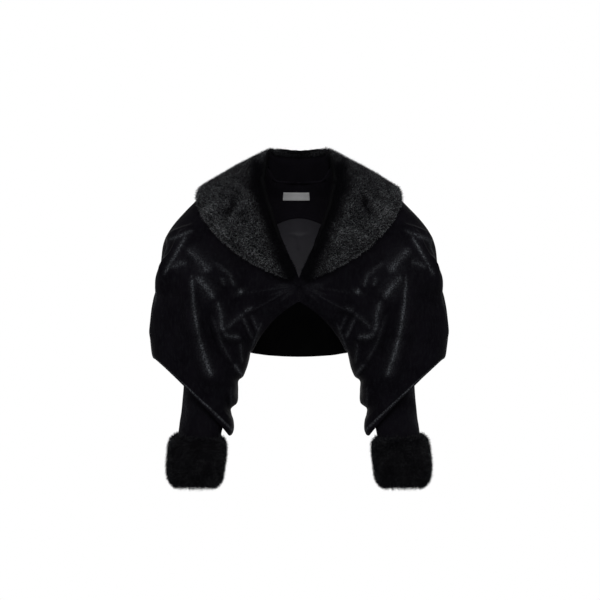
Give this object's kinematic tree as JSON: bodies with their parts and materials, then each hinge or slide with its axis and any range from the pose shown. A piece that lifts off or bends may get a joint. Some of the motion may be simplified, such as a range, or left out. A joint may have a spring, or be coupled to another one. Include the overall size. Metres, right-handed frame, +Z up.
{
  "type": "cropped coat",
  "caption": "Cropped velvet jacket with a wide fur shawl collar, draped cocoon sleeves, close forearms and fur cuffs, shaped as worn.",
  "frame": {"origin": "the middle of the neck's base, level with the neck seam, where the wearer's neck and shoulders hold the jacket", "axes": "+Z up, the front faces -Y, the wearer's left is +X"},
  "size_m": [0.6086, 0.2635, 0.6936],
  "materials": {
    "velvet": "black velvet, a soft sheen along the folds",
    "fur": "black short-pile fake fur, grey where the light meets its tips",
    "facing_cloth": "matt black cloth",
    "satin_lining": "dark grey satin",
    "label_cloth": "plain grey woven cloth",
    "dark_metal": "blackened steel wire"
  },
  "bodies": {
    "root": {"sleeve_left": "velvet", "sleeve_right": "velvet", "forearm_left": "velvet", "forearm_right": "velvet", "cuff_left": "fur", "cuff_right": "fur", "front_left": "velvet", "front_right": "velvet", "back": "velvet", "collar": "fur", "neck_facing": "facing_cloth", "lining_back": "satin_lining", "label": "label_cloth", "hook": "dark_metal", "eye": "dark_metal"}
  },
  "joints": []
}
